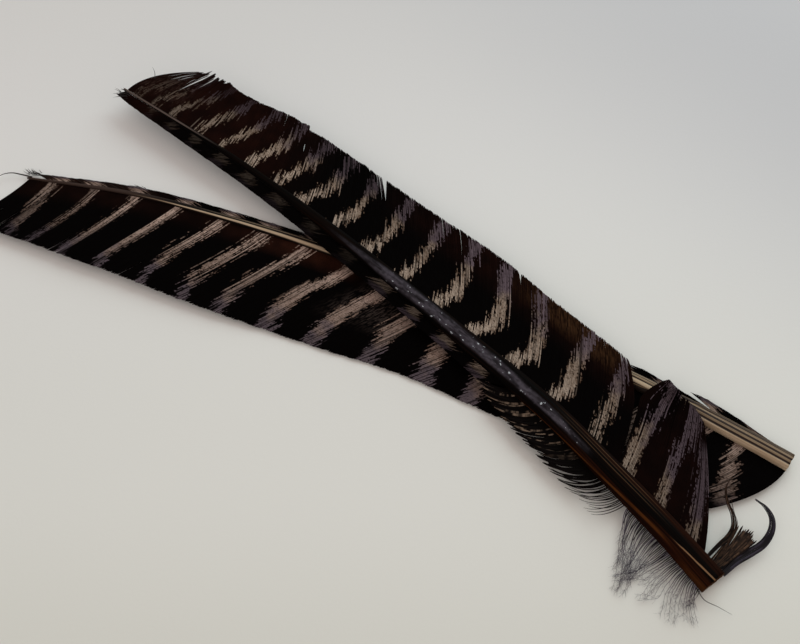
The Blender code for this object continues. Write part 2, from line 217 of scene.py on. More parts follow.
LOWER_NARROW_BARS = {
    "roots": [10, 27, 44, 61, 78, 97, 115, 131.5, 149.5, 168, 186, 203, 219, 237,
              257, 274, 288],
    "start": 1,
    "moves": [(5, [(10, 2.5), (288, 1.5)])],
    "half": [(10, 3.6), (288, 3.2)],
    "strength": [(10, 0.7), (170, 0.8), (288, 0.75)],
}


# ---------------------------------------------------------------- the feathers' shape


def smooth_curve(stations):
    """A function that runs smoothly through (position, value) stations and holds its ends."""
    xs = np.array([x for x, _ in stations], float)
    vs = np.array([v for _, v in stations], float)
    last = len(xs) - 1
    lo = np.maximum(np.arange(len(xs)) - 1, 0)
    hi = np.minimum(np.arange(len(xs)) + 1, last)
    slopes = (vs[hi] - vs[lo]) / (xs[hi] - xs[lo]).reshape((-1,) + (1,) * (vs.ndim - 1))

    def value(x):
        x = np.clip(np.asarray(x, float), xs[0], xs[-1])
        i = np.clip(np.searchsorted(xs, x, side="right") - 1, 0, last - 1)
        step = xs[i + 1] - xs[i]
        s = (x - xs[i]) / step
        if vs.ndim > 1:
            s, step = s[..., None], step[..., None]
        return (vs[i] * (2 * s**3 - 3 * s**2 + 1) + slopes[i] * step * (s**3 - 2 * s**2 + s)
                + vs[i + 1] * (3 * s**2 - 2 * s**3) + slopes[i + 1] * step * (s**3 - s**2))

    return value


def unit(v):
    return v / np.maximum(np.linalg.norm(v, axis=-1, keepdims=True), 1e-12)


def smooth_step(x, low, high):
    t = np.clip((np.asarray(x, float) - low) / (high - low), 0.0, 1.0)
    return t * t * (3 - 2 * t)


class Feather:
    """One feather's shape: its shaft's path and section, and the outline of its vanes."""

    def __init__(self, shape):
        self.length = shape["length"]
        self.wide_side = shape["wide_side"]
        self.spine = smooth_curve(shape["spine"])
        self.half_width = smooth_curve(shape["half_width"])
        self.half_depth = smooth_curve(shape["half_depth"])
        for part in ("edge", "lean", "rise"):
            curves = {side: smooth_curve(shape[f"{side}_{part}"]) for side in ("wide", "narrow")}
            setattr(self, part, curves)

    def place(self, points):
        """Row-frame points, in metres, of (..., 3) feather coordinates in millimetres."""
        points = np.asarray(points, float)
        a, w, h = points[..., 0], points[..., 1], points[..., 2]
        t = np.clip(a / self.length, 0.0, 1.0)
        tangent = unit(self.spine(np.minimum(t + 0.01, 1.0)) - self.spine(np.maximum(t - 0.01, 0.0)))
        side = unit(np.cross(tangent, UP)) * self.wide_side
        up = unit(UP - tangent * tangent[..., 2:3])
        centre = self.spine(t) + tangent * (a - t * self.length)[..., None]
        return (centre + side * w[..., None] + up * h[..., None]) * MM


upper = Feather(UPPER)
lower = Feather(LOWER)


# ---------------------------------------------------------------- meshes


def make_mesh(name, verts, faces):
    """A mesh object of quads, or of a list of faces, with every face turned outwards."""
    mesh = bpy.data.meshes.new(name)
    mesh.from_pydata([tuple(v) for v in verts.tolist()], [], [tuple(f) for f in faces])
    work = bmesh.new()
    work.from_mesh(mesh)
    bmesh.ops.recalc_face_normals(work, faces=work.faces)
    work.to_mesh(mesh)
    work.free()
    obj = bpy.data.objects.new(name, mesh)
    bpy.context.scene.collection.objects.link(obj)
    return obj


def add_attribute(obj, name, values):
    """A number or a vector at every vertex, for the materials."""
    values = np.asarray(values, np.float32)
    kind, field = ("FLOAT_VECTOR", "vector") if values.ndim > 1 else ("FLOAT", "value")
    made = obj.data.attributes.new(name, kind, "POINT")
    made.data.foreach_set(field, values.ravel())


def add_uv(obj, uv):
    """The layout that textures are baked in, from a (u, v) pair for each vertex."""
    layer = obj.data.uv_layers.new(name="OFBake")
    index = np.zeros(len(obj.data.loops), np.int32)
    obj.data.loops.foreach_get("vertex_index", index)
    layer.data.foreach_set("uv", np.asarray(uv, np.float32)[index].ravel())


def tube_faces(count, rings, sides):
    """Faces of `count` closed tubes, each of `rings` rings of `sides` points, capped at both ends."""
    n, r, k = np.meshgrid(np.arange(count), np.arange(rings - 1), np.arange(sides), indexing="ij")
    here = (n * rings + r) * sides
    ahead = (k + 1) % sides
    quads = np.stack([here + k, here + ahead, here + sides + ahead, here + sides + k], -1).reshape(-1, 4)
    ends = np.arange(count)[:, None] * rings * sides + np.arange(sides)
    return quads.tolist() + ends.tolist() + (ends + (rings - 1) * sides).tolist()


def tube_uv(count, rings, sides, columns):
    """One thin strip of the texture for each tube, in so many columns."""
    rows = -(-count // columns)
    n, r, k = np.meshgrid(np.arange(count), np.arange(rings), np.arange(sides), indexing="ij")
    around = 1.0 - np.abs(1.0 - 2.0 * k / sides)
    u = (n // rows + 0.01 + 0.98 * r / (rings - 1)) / columns
    v = (n % rows + 0.06 + 0.88 * around) / rows
    return np.stack([u, v], -1).reshape(-1, 2)


def tubes(name, paths, half_widths, half_depths, sides=4, columns=1):
    """A bundle of flattened tubes along (count, rings, 3) paths in metres."""
    count, rings = paths.shape[:2]
    along = unit(np.gradient(paths, axis=1))
    across = unit(np.cross(along, UP + 1e-4))
    over = np.cross(across, along)
    angle = 2 * pi * np.arange(sides) / sides
    ring = (paths[:, :, None]
            + across[:, :, None] * (half_widths[..., None] * np.cos(angle))[..., None] * MM
            + over[:, :, None] * (half_depths[..., None] * np.sin(angle))[..., None] * MM)
    obj = make_mesh(name, ring.reshape(-1, 3), tube_faces(count, rings, sides))
    add_uv(obj, tube_uv(count, rings, sides, columns))
    return obj


def spread(values, sides):
    """Repeat (count, rings) values for each point of a ring."""
    return np.repeat(np.asarray(values, float).reshape(-1), sides)


def soften(values, reach):
    """Random values smoothed over their neighbours."""
    kernel = np.hanning(2 * reach + 3)
    padded = np.pad(values, reach + 1, mode="edge")
    return np.convolve(padded, kernel / kernel.sum(), mode="valid")


# ---------------------------------------------------------------- materials


class Graph:
    """A short way to write a node material."""

    def __init__(self, name):
        self.material = bpy.data.materials.new(name)
        self.material.use_nodes = True
        self.tree = self.material.node_tree
        self.shader = self.tree.nodes["Principled BSDF"]

    def put(self, socket, value):
        if isinstance(value, bpy.types.NodeSocket):
            self.tree.links.new(value, socket)
        elif isinstance(value, tuple) and len(value) == 3 and socket.type == "RGBA":
            socket.default_value = (*value, 1.0)
        else:
            socket.default_value = value

    def node(self, kind, inputs=None, **settings):
        made = self.tree.nodes.new(kind)
        for key, value in settings.items():
            setattr(made, key, value)
        for key, value in (inputs or {}).items():
            self.put(made.inputs[key], value)
        return made

    def attribute(self, name, output="Fac"):
        return self.node("ShaderNodeAttribute", attribute_name=name).outputs[output]

    def math(self, operation, a, b=0.0):
        return self.node("ShaderNodeMath", {0: a, 1: b}, operation=operation).outputs[0]

    def times(self, a, b):
        return self.math("MULTIPLY", a, b)

    def larger(self, a, b):
        return self.math("MAXIMUM", a, b)

    def fade(self, value, low, high, to_low=0.0, to_high=1.0):
        """A smooth step of `value` between `low` and `high`."""
        inputs = {"Value": value, "From Min": low, "From Max": high, "To Min": to_low, "To Max": to_high}
        return self.node("ShaderNodeMapRange", inputs, interpolation_type="SMOOTHSTEP").outputs["Result"]

    def mix(self, factor, a, b):
        return self.node("ShaderNodeMix", {0: factor, 6: a, 7: b}, data_type="RGBA").outputs[2]

    def scaled(self, vector, x, y, z):
        inputs = {0: vector, 1: (x, y, z)}
        return self.node("ShaderNodeVectorMath", inputs, operation="MULTIPLY").outputs[0]

    def noise(self, vector, scale=1.0, detail=2.0):
        inputs = {"Vector": vector, "Scale": scale, "Detail": detail}
        return self.node("ShaderNodeTexNoise", inputs).outputs["Fac"]

    def object_position(self):
        return self.node("ShaderNodeTexCoord").outputs["Object"]

    def stripe(self, name):
        """A crisp line along a shaft, from its offset (1 at the line's side) and its strength."""
        parts = self.node("ShaderNodeSeparateXYZ", {"Vector": self.attribute(name, "Vector")}).outputs
        return self.times(self.fade(self.math("ABSOLUTE", parts[0]), 0.7, 1.25, 1.0, 0.0), parts[1])

    def bump(self, height, strength, distance):
        made = self.node("ShaderNodeBump", {"Height": height, "Strength": strength, "Distance": distance})
        self.put(self.shader.inputs["Normal"], made.outputs[0])

    def finish(self, colour, roughness, specular):
        self.put(self.shader.inputs["Base Color"], colour)
        self.put(self.shader.inputs["Roughness"], roughness)
        self.shader.inputs["Specular IOR Level"].default_value = specular
        return self.material


def vane_material(name, cream, violet, red_brown, tan_brown, painted_sheen):
    """Barred barbs: pale bars that take a painted grey-violet sheen towards the edge, on a black to brown
    ground with a painted grey sheen in places, and painted shade along each barb's edges.
    """
    g = Graph(name)
    grain = g.attribute("grain", "Vector")
    streaks = g.noise(g.scaled(grain, 0.35, 1.0, 0.0), 1.0, 3.0)
    flecks = g.noise(g.scaled(grain, 1.3, 1.0, 0.0), 1.0, 2.0)
    clouds = g.noise(g.object_position(), 160.0, 3.0)
    own = g.attribute("own")
    bar = g.math("ADD", g.attribute("bar"), g.fade(streaks, 0.25, 0.75, -1.3, 1.3))
    bar = g.math("ADD", bar, g.fade(flecks, 0.2, 0.8, -0.7, 0.7))
    pale = g.times(g.fade(bar, -0.2, 0.5), g.attribute("strength"))
    pale = g.times(pale, g.fade(own, 0.0, 0.40, 0.25, 1.0))
    pale = g.times(pale, g.fade(flecks, 0.3, 0.5, 0.35, 1.0))

    ground = g.mix(g.times(g.attribute("red"), g.fade(clouds, 0.3, 0.7, 0.5, 1.0)), BLACK, red_brown)
    tan = g.times(g.attribute("tan"), g.fade(streaks, 0.35, 0.65, 0.10, 0.8))
    ground = g.mix(tan, ground, tan_brown)
    # Painted grey sheen, in streaks, over parts of the dark ground
    ground = g.mix(g.times(g.attribute("painted_sheen"), g.fade(streaks, 0.42, 0.62)), ground, painted_sheen)

    warm = g.mix(g.fade(streaks, 0.45, 0.7, 0.0, 0.6), cream, tan_brown)
    warm = g.mix(g.fade(bar, 0.1, 1.3, 0.7, 0.0), warm, tan_brown)
    edge = g.math("ADD", g.attribute("share"), g.fade(clouds, 0.2, 0.8, -0.12, 0.12))
    warm = g.mix(g.fade(edge, 0.15, 0.50, 0.0, 0.30), warm, tan_brown)
    # Painted sheen: towards the vane's outer edge the bars turn grey-violet
    light = g.mix(g.fade(edge, 0.50, 0.78), warm, violet)
    colour = g.mix(pale, ground, light)
    # Painted shade: each barb darkens towards its side edges and underside, where it meets the next
    colour = g.mix(g.fade(g.attribute("rim"), 0.2, 1.0, 0.0, 0.75), colour, BLACK)
    g.bump(streaks, 0.25, 0.0002)
    return g.finish(colour, g.fade(streaks, 0.3, 0.7, 0.6, 0.8), 0.012)


def upper_shaft_material():
    """Near-black horn with tan ridge lines, a golden line that is a painted highlight along its edge, a
    painted blue-grey shine along the middle and white glints painted on its flakes.
    """
    g = Graph("upper_cortex_look")
    grain = g.attribute("grain", "Vector")
    fibres = g.noise(g.scaled(grain, 0.03, 2.2, 0.0), 1.0, 4.0)
    patches = g.noise(g.scaled(grain, 0.12, 0.6, 0.0), 1.0, 3.0)
    flakes = g.noise(g.scaled(grain, 0.55, 0.85, 0.0), 1.0, 2.5)
    colour = g.mix(g.fade(fibres, 0.45, 0.75, 0.0, 0.6), (0.0012, 0.0008, 0.0007), (0.012, 0.0045, 0.002))
    colour = g.mix(g.times(g.attribute("red"), g.fade(fibres, 0.3, 0.65, 0.1, 1.0)), colour,
                   (0.030, 0.008, 0.003))
    # A golden strip at the cut, and a golden line that is a painted highlight along the shaft's edge
    golden = g.times(g.attribute("golden"), g.fade(fibres, 0.3, 0.65, 0.10, 1.0))
    flank = g.times(g.stripe("flank_line"), g.fade(patches, 0.3, 0.6, 0.5, 1.0))
    golden = g.larger(golden, flank)
    colour = g.mix(golden, colour, (0.070, 0.024, 0.006))
    colour = g.mix(g.stripe("far_line"), colour, (0.105, 0.080, 0.070))
    lines = g.stripe("mid_line")
    for i in range(len(UPPER_FINE)):
        lines = g.larger(lines, g.stripe(f"fine_line_{i}"))
    lines = g.times(lines, g.fade(patches, 0.25, 0.55, 0.55, 1.0))
    colour = g.mix(lines, colour, (0.20, 0.115, 0.06))
    # Painted highlight: a blue-grey shine along the middle of the shaft
    shine = g.times(g.attribute("shine"), g.fade(patches, 0.3, 0.65, 0.2, 1.0))
    shine = g.times(shine, g.fade(flakes, 0.3, 0.6, 0.55, 1.0))
    colour = g.mix(shine, colour, (0.070, 0.063, 0.078))
    # Flakes of horn, painted as white glints where the shine falls
    glint_specks = g.times(g.attribute("flaky"), g.fade(flakes, 0.645, 0.69))
    colour = g.mix(glint_specks, colour, (0.42, 0.46, 0.50))
    colour = g.mix(g.attribute("cut"), colour, (0.06, 0.028, 0.012))
    g.bump(g.math("ADD", fibres, glint_specks), 0.35, 0.0002)
    return g.finish(colour, g.fade(fibres, 0.3, 0.7, 0.6, 0.75), 0.02)


def lower_shaft_material():
    """Cream horn with fine brown and black lines along it."""
    g = Graph("lower_cortex_look")
    grain = g.attribute("grain", "Vector")
    fibres = g.noise(g.scaled(grain, 0.02, 3.0, 0.0), 1.0, 4.0)
    patches = g.noise(g.scaled(grain, 0.08, 0.8, 0.0), 1.0, 3.0)
    dark = g.mix(g.fade(fibres, 0.40, 0.75), (0.0015, 0.001, 0.001), (0.030, 0.017, 0.011))
    olive = g.mix(g.fade(fibres, 0.40, 0.62), (0.045, 0.024, 0.012), (0.19, 0.13, 0.07))
    cream = g.mix(g.fade(patches, 0.25, 0.75), (0.38, 0.285, 0.19), (0.52, 0.42, 0.30))
    cream = g.mix(g.fade(fibres, 0.50, 0.72, 0.0, 0.6), cream, (0.26, 0.18, 0.10))
    colour = g.mix(g.attribute("brown"), dark, (0.040, 0.025, 0.020))
    olives, creams = g.attribute("olive"), g.stripe("cream_line")
    for i, (_, _, creamy, strength, _) in enumerate(LOWER_LINES):
        stripe = g.stripe(f"line_{i}")
        olives = g.larger(olives, g.times(stripe, strength))
        creams = g.larger(creams, g.times(stripe, creamy))
    colour = g.mix(olives, colour, olive)
    colour = g.mix(creams, colour, cream)
    colour = g.mix(g.attribute("cut"), colour, (0.36, 0.28, 0.18))
    g.bump(fibres, 0.3, 0.0002)
    return g.finish(colour, g.fade(patches, 0.3, 0.7, 0.45, 0.6), 0.10)


def pith_material():
    """Pale dry foam with pores."""
    g = Graph("pith_look")
    where = g.object_position()
    pores = g.node("ShaderNodeTexVoronoi", {"Vector": where, "Scale": 1800.0}).outputs["Distance"]
    stains = g.noise(where, 400.0, 3.0)
    colour = g.mix(g.fade(pores, 0.1, 0.6), (0.34, 0.28, 0.21), (0.66, 0.60, 0.50))
    colour = g.mix(g.fade(stains, 0.45, 0.75, 0.0, 0.6), colour, (0.30, 0.20, 0.12))
    g.bump(pores, 0.5, 0.0004)
    return g.finish(colour, 0.9, 0.15)


def strand_material(name, root, tip, streak, roughness, specular):
    """Loose barbs and down: the colour runs from root to tip, with thin streaks."""
    g = Graph(name)
    grain = g.attribute("grain", "Vector")
    streaks = g.noise(g.scaled(grain, 0.5, 1.0, 0.0), 1.0, 3.0)
    colour = g.mix(g.fade(g.attribute("share"), 0.15, 0.7), root, tip)
    colour = g.mix(g.times(g.attribute("strength"), g.fade(streaks, 0.4, 0.6)), colour, streak)
    g.bump(streaks, 0.2, 0.0001)
    return g.finish(colour, roughness, specular)


def floor_material():
    """Plain pale paper-like surface with a faint, slow random tone, painted shade that cools and darkens it
    towards the far side and the far right corner, and a greener, darker near edge.
    """
    g = Graph("floor_look")
    where = g.object_position()
    tone = g.noise(where, 3.0, 2.0)
    parts = g.node("ShaderNodeSeparateXYZ", {"Vector": where}).outputs
    # Painted shade: cooler, then darker, towards the far side
    colour = g.mix(g.fade(parts["Y"], -0.12, 0.14), (0.76, 0.795, 0.765), (0.76, 0.785, 0.80))
    colour = g.mix(g.fade(parts["Y"], 0.02, 0.20), colour, (0.66, 0.675, 0.68))
    # Greener and darker towards the near edge
    colour = g.mix(g.fade(parts["Y"], -0.06, -0.16), colour, (0.66, 0.69, 0.635))
    colour = g.mix(g.fade(tone, 0.3, 0.7, 0.0, 0.3), colour, (0.80, 0.805, 0.79))
    # Painted shade: darker and cooler towards the far right corner
    colour = g.mix(g.fade(g.math("ADD", parts["X"], parts["Y"]), 0.08, 0.32), colour, (0.56, 0.58, 0.61))
    g.bump(g.noise(where, 900.0, 3.0), 0.05, 0.0005)
    return g.finish(colour, 0.85, 0.15)


# ---------------------------------------------------------------- vanes


def bar_field(bars, a, w):
    """Millimetres inside the nearest bar (negative outside), and that bar's strength."""
    half, strength = smooth_curve(bars["half"]), smooth_curve(bars["strength"])
    knots = [bars["start"]] + [w_knot for w_knot, _ in bars["moves"]]
    moves = [smooth_curve(stations) for _, stations in bars["moves"]]
    ends = smooth_curve(bars.get("ends", [(0, 60.0), (300, 60.0)]))
    best = np.full(a.shape, -50.0)
    level = np.ones(a.shape)
    for root in bars["roots"]:
        centres = [root] + [root + float(move(root)) for move in moves]
        inside = float(half(root)) - np.abs(a - np.interp(w, knots, centres))
        nearer = inside > best
        best = np.where(nearer, inside, best)
        end = float(ends(root))
        level = np.where(nearer, float(strength(root)) * (1 - smooth_step(w, end - 2.5, end + 1.5)), level)
    return best, level


def upper_ground(a, w):
    """Red-brown, tan and painted grey sheen shares of the upper vane's dark ground."""
    red = np.maximum(smooth_step(a, 196, 232) * 0.95, 0.55 * (1 - smooth_step(a, 38, 58)))
    outer_red = 0.7 * smooth_step(w, 17, 27) * smooth_step(a, 52, 64) * (1 - smooth_step(a, 150, 190))
    red = np.maximum(red, outer_red)
    tan = 0.65 * smooth_step(w, 23, 28) * smooth_step(a, 66, 78) * (1 - smooth_step(a, 96, 128))
    painted_sheen = 0.35 * smooth_step(a, 262, 272) * smooth_step(w, 3, 8)
    return red, tan, painted_sheen


def lower_ground(a, w):
    """The same for the lower vane: a warm band beside the shaft and a painted grey sheen at the middle."""
    red = smooth_step(a, 150, 176) * (1 - smooth_step(w, 4, 11)) * (1 - 0.8 * smooth_step(a, 185, 225))
    painted_sheen = smooth_step(a - 0.75 * w, 126, 132) * (1 - smooth_step(a - 0.75 * w, 148, 158))
    painted_sheen = 0.7 * painted_sheen * (1 - smooth_step(w, 20, 27))
    return red, 0.0 * red, painted_sheen


def upper_narrow_ground(a, w):
    return 0.8 * smooth_step(a, 255, 282), 0.0 * a, 0.0 * a


def lower_narrow_ground(a, w):
    # A red-brown share towards the tip, and a painted grey sheen there too
    return 0.35 * smooth_step(a, 235, 265), 0.0 * a, 0.5 * smooth_step(a, 240, 270)


def split_shift(root, share):
    """How far splits pull the upper vane's barbs along the shaft."""
    shift = np.zeros(np.broadcast(root, share).shape)
    for at, opens, closes, before, after, reach in SPLITS:
        pull = np.where(root < at, before, after) * np.exp(-(np.abs(root - at) / reach) ** 1.5)
        if closes > 1.0:
            shape = np.clip((share - opens) / (1.0 - opens), 0.0, None) ** 1.3
        else:
            shape = np.sin(pi * np.clip((share - opens) / (closes - opens), 0.0, 1.0))
        shift += pull * shape
    return shift


def barb_paths(feather, side, roots, shares, curl, rng):
    """(count, rings, 3) feather coordinates of a row of barbs."""
    upper_wide = side == "wide" and feather is upper
    lower_wide = side == "wide" and feather is lower
    lean = feather.lean[side](roots)
    inner = feather.half_width(roots / feather.length) + ROOT_GAP * 0.2
    outer = feather.edge[side](roots + lean)
    if upper_wide or feather is lower:
        fray = UPPER_FRAY if upper_wide else (LOWER_FRAY if lower_wide else LOWER_NARROW_FRAY)
        outer = outer + np.interp(roots, [x for x, _ in fray], [y for _, y in fray])
    frayed = 1.0 + 1.5 * smooth_step(roots, 250, 264) * upper_wide
    outer = outer + rng.normal(0, RAGGED[side], len(roots)) * frayed
    outer = outer + soften(rng.normal(0, WAVY[side], len(roots)), 4)
    root, u = roots[:, None], shares[None, :]
    late = BARB_CURVE + 0.75 * smooth_step(root, 225, 285) * upper_wide
    late = late + 0.55 * (1 - smooth_step(root, 3, 28)) * lower_wide
    a = root + lean[:, None] * ((1.0 - late) * u + late * u * u)
    w = inner[:, None] + (outer - inner)[:, None] * u
    if upper_wide:
        a = a + split_shift(root, u)
    stray = rng.normal(0, 1.0, len(roots))
    a = a + 0.025 * stray[:, None] * u**3
    rise = feather.rise[side](roots / feather.length)
    h = rise[:, None] * u**1.5
    ripple = 0.10 * np.sin(root * 0.55 + 2.0 * u) + 0.06 * np.sin(root * 1.7 + 5.0 * u)
    h = h + ripple * u + 0.02 * stray[:, None] * u
    if curl > 1.0:
        angle = np.clip(w - ROLL_START, 0.0, None) / ROLL_RADIUS
        w = np.minimum(w, ROLL_START) + ROLL_RADIUS * np.sin(angle)
        h = h + ROLL_RADIUS * (1 - np.cos(angle))
    else:
        h = h + curl * u**4
    return np.stack([a, np.broadcast_to(w, a.shape), np.broadcast_to(h, a.shape)], -1)


def make_vane(feather, name, body, side, first, last, curl, bars, ground, material, slot, seed):
    """One vane panel as a row of overlapping barbs."""
    rng = np.random.default_rng(seed)
    count = round((last - first) / BARB_STEP)
    roots = first + BARB_STEP * (np.arange(count) + 0.5) + rng.normal(0, 0.03, count)
    rings = (34 if curl > 1.0 else 19) if side == "wide" else 9
    shares = np.append(np.linspace(0.0, 1.0 - LAST_STEP, rings - 1), 1.0)
    core = barb_paths(feather, side, roots, shares, curl, rng)
    gap = np.abs(np.gradient(core[..., 0], axis=0))
    half = 0.5 * BARB_OVERLAP[side] * np.clip(gap, 0.25, 0.75)
    taper = np.where(shares < 1.0, 1.0, 0.5)[None, :]
    half = half * taper
    tilt, ridge = BARB_TILT[side], BARB_RIDGE[side]
    corners = np.repeat(core[:, :, None, :], 4, axis=2)
    corners[:, :, 0, 0] -= half
    corners[:, :, 0, 2] -= tilt
    corners[:, :, 1, 2] += ridge * taper
    corners[:, :, 2, 0] += half
    corners[:, :, 2, 2] += tilt
    corners[:, :, 3, 2] -= ridge * taper

    a, w = corners[..., 0].copy(), corners[..., 1].copy()
    if side == "narrow":
        corners[..., 1] *= -1.0
    obj = make_mesh("barbs_" + name, feather.place(corners).reshape(-1, 3), tube_faces(count, rings, 4))
    jitter = rng.normal(0, 0.75, count) + 0.8 * soften(rng.normal(0, 1.2, count), 3)
    inside, level = bar_field(bars, a + jitter[:, None, None], w)
    share = shares[None, :, None] + 0.0 * a
    if feather is upper and side == "wide":
        level = level * (1 - 0.55 * smooth_step(w, 10, 26) * smooth_step(a, 110, 200))
        # Near the base the steep barbs take more of the painted grey-violet sheen
        share = share + 0.50 * (1 - smooth_step(a, 20, 75))
    elif side == "wide":
        level = level * (1 - 0.25 * smooth_step(w, 6, 20))
        share = 0.85 * share
        inside = inside + 0.25 - 0.55 * smooth_step(a, 190, 230)
    drawn = rng.random(count)
    inside = inside + rng.normal(0, 0.5, count)[:, None, None]
    red, tan, painted_sheen = ground(a, w)
    length = np.linspace(0.0, 1.0, rings)[None, :, None] * (core[:, -1, 1] - core[:, 0, 1])[:, None, None]
    number = np.arange(count)[:, None, None] * 1.7 + seed * 13.0
    grain = np.stack(np.broadcast_arrays(length * 1.25, number + 0.0 * a, 0.0 * a), -1)
    # rim: painted shade along each barb's side edges and underside
    paint = {"bar": inside, "own": drawn[:, None, None], "strength": level, "red": red, "tan": tan,
             "painted_sheen": painted_sheen, "share": share, "rim": np.array([1.0, 0.0, 1.0, 0.6])}
    for key, values in paint.items():
        add_attribute(obj, key, np.broadcast_to(values, a.shape).reshape(-1))
    add_attribute(obj, "grain", grain.reshape(-1, 3))
    add_uv(obj, tube_uv(count, rings, 4, 1 if count < 120 else 2))
    dress(obj, material, body, slot, name)


def dress(obj, material, body, slot, *nodes):
    """Give a piece its material, the body it rides on and the CAD nodes it stands for; its slot is not used.
    """
    obj.data.materials.append(material)
    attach(obj, body)
    if nodes:
        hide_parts(*nodes)


# ---------------------------------------------------------------- shafts


def rounded_box(angle, half_width, half_depth):
    c, s = np.cos(angle), np.sin(angle)
    w = half_width * np.abs(c) ** SQUARENESS * np.sign(c)
    h = half_depth * np.abs(s) ** SQUARENESS * np.sign(s)
    return w, h


def shaft_rings(feather, places, shrink, relief):
    """(rings, sides, 3) feather coordinates around the shaft, with `relief` added to the top."""
    angle = 2 * pi * (np.arange(SHAFT_SIDES) + 0.5) / SHAFT_SIDES
    t = places / feather.length
    half_width = (feather.half_width(t) - shrink)[:, None]
    half_depth = (feather.half_depth(t) - shrink)[:, None]
    w, h = rounded_box(angle[None, :], half_width, half_depth)
    if feather is upper and relief is not None:
        w = np.where(w < 0, w * smooth_curve(UPPER_FLANK)(places)[:, None], w)
    a = np.broadcast_to(places[:, None], w.shape)
    if relief is not None:
        h = h + relief(a, w) * smooth_step(h / half_depth, 0.2, 0.8)
    return np.stack([a, w, h], -1)


def make_shaft(key, feather, relief, paint, material, seed):
    """The horny cortex, open and slightly chipped at the cut, with its paint as attributes."""
    rng = np.random.default_rng(seed)
    places = np.linspace(0.0, feather.length, round(feather.length / SHAFT_STEP) + 1)
    hollow = np.linspace(0.0, feather.length * HOLLOW_END, 40)
    outer = shaft_rings(feather, places, 0.0, relief)
    rim = shaft_rings(feather, places[:1], 0.35, relief)
    inner = shaft_rings(feather, hollow, WALL, None)
    chips = soften(rng.normal(0, 0.5, SHAFT_SIDES), 1) + 0.25 * rng.random(SHAFT_SIDES)
    outer[0, :, 0] += 0.12 + 0.35 * np.abs(chips)
    rim[0, :, 0] += 0.02 + 0.30 * np.abs(np.roll(chips, 1))
    inner[0, :, 0] += 0.25 + 0.5 * np.abs(np.roll(chips, 2))
    rings = np.concatenate([outer[::-1], rim, inner])
    flat = rings.reshape(-1, 3)
    obj = make_mesh(f"{key}_shaft_horn", feather.place(flat), tube_faces(1, len(rings), SHAFT_SIDES))
    a, w, h = flat[:, 0], flat[:, 1], flat[:, 2]
    for name, values in paint(a, w, h).items():
        add_attribute(obj, name, values)
    is_cut = np.zeros(len(rings))
    is_cut[len(outer):len(outer) + 2] = 1.0
    add_attribute(obj, "cut", spread(is_cut, SHAFT_SIDES))
    add_attribute(obj, "grain", np.stack([a, w, h], -1))
    r, k = np.meshgrid(np.arange(len(rings)), np.arange(SHAFT_SIDES), indexing="ij")
    fold = 1.0 - np.abs(1.0 - 2.0 * ((k + SHAFT_SIDES // 4) % SHAFT_SIDES) / SHAFT_SIDES)
    column = np.where(r < len(outer), 0.0, 0.5)
    share = np.where(r < len(outer), r / len(outer), (r - len(outer)) / (len(inner) + 1))
    below = (flat[:, 2] < 0).reshape(r.shape)
    add_uv(obj, np.stack([column + 0.01 + 0.48 * share, 0.01 + 0.48 * fold + 0.5 * below], -1).reshape(-1, 2))
    obj.data.shade_smooth()
    dress(obj, material, f"{key}_feather", f"{key}_cortex", f"{key}_shaft")


def make_pith(key, feather, material, seed):
    """The foam core, with a rough, slightly hollow face at the quill's mouth."""
    rng = np.random.default_rng(seed)
    end = feather.length * HOLLOW_END - CORE_START
    mouth = [(0.25, 1.4), (0.55, 0.7), (0.85, 0.2)]
    places = np.concatenate([[CORE_START] * len(mouth), np.linspace(CORE_START, end, 60)])
    rings = shaft_rings(feather, places, WALL + CORE_GAP, None)
    for i, (size, depth) in enumerate(mouth):
        rings[i, :, 1:] *= size
        rings[i, :, 0] += depth * 0.6 + rng.normal(0, 0.12, SHAFT_SIDES)
    inside = rings[len(mouth) + 1:-1, :, 1:]
    inside *= 1.0 - 0.06 * rng.random((len(inside), SHAFT_SIDES, 1))
    faces = tube_faces(1, len(places), SHAFT_SIDES)
    obj = make_mesh(f"{key}_pith_foam", feather.place(rings).reshape(-1, 3), faces)
    obj.data.shade_smooth()
    dress(obj, material, f"{key}_feather", "pith", f"{key}_pith")


def line(a, w, path, half):
    """1 on a line along the shaft, falling to 0 at its sides; `path` and `half` are curves of a."""
    middle, width = smooth_curve(path)(a), smooth_curve(half)(a)
    return 1.0 - smooth_step(np.abs(w - middle), 0.6 * width, 1.3 * width + 0.05)


def stripe_values(a, across, path, half, strength):
    """The offset from a line, in half widths, and its strength, for `Graph.stripe`."""
    offset = (across - smooth_curve(path)(a)) / smooth_curve(half)(a)
    return np.stack([offset, strength + 0.0 * a, 0.0 * a], -1)


# The upper shaft's side swells over the narrow vane's roots, times the even section
UPPER_FLANK = [(20, 1.0), (45, 1.12), (75, 1.3), (105, 1.42), (130, 1.3), (160, 1.1), (180, 1.0)]
# A painted highlight, a golden line along the shaft's edge, sinks down that side: its height, and half its
# width
UPPER_EDGE_HIGHLIGHT = ([(18, 2.6), (40, 1.9), (60, 1.1), (75, 0.3), (100, -1.2), (125, -0.6), (150, 0.0)],
                    [(18, 0.30), (60, 0.26), (150, 0.22)])
UPPER_FAR_LINE = ([(230, 0.5), (262, -0.1), (290, 0.0)], [(230, 0.25), (290, 0.40)])
UPPER_MID_RIDGE = ([(0, -0.3), (8, -0.9), (18, -1.7)], [(0, 0.28), (10, 0.24), (18, 0.10)])
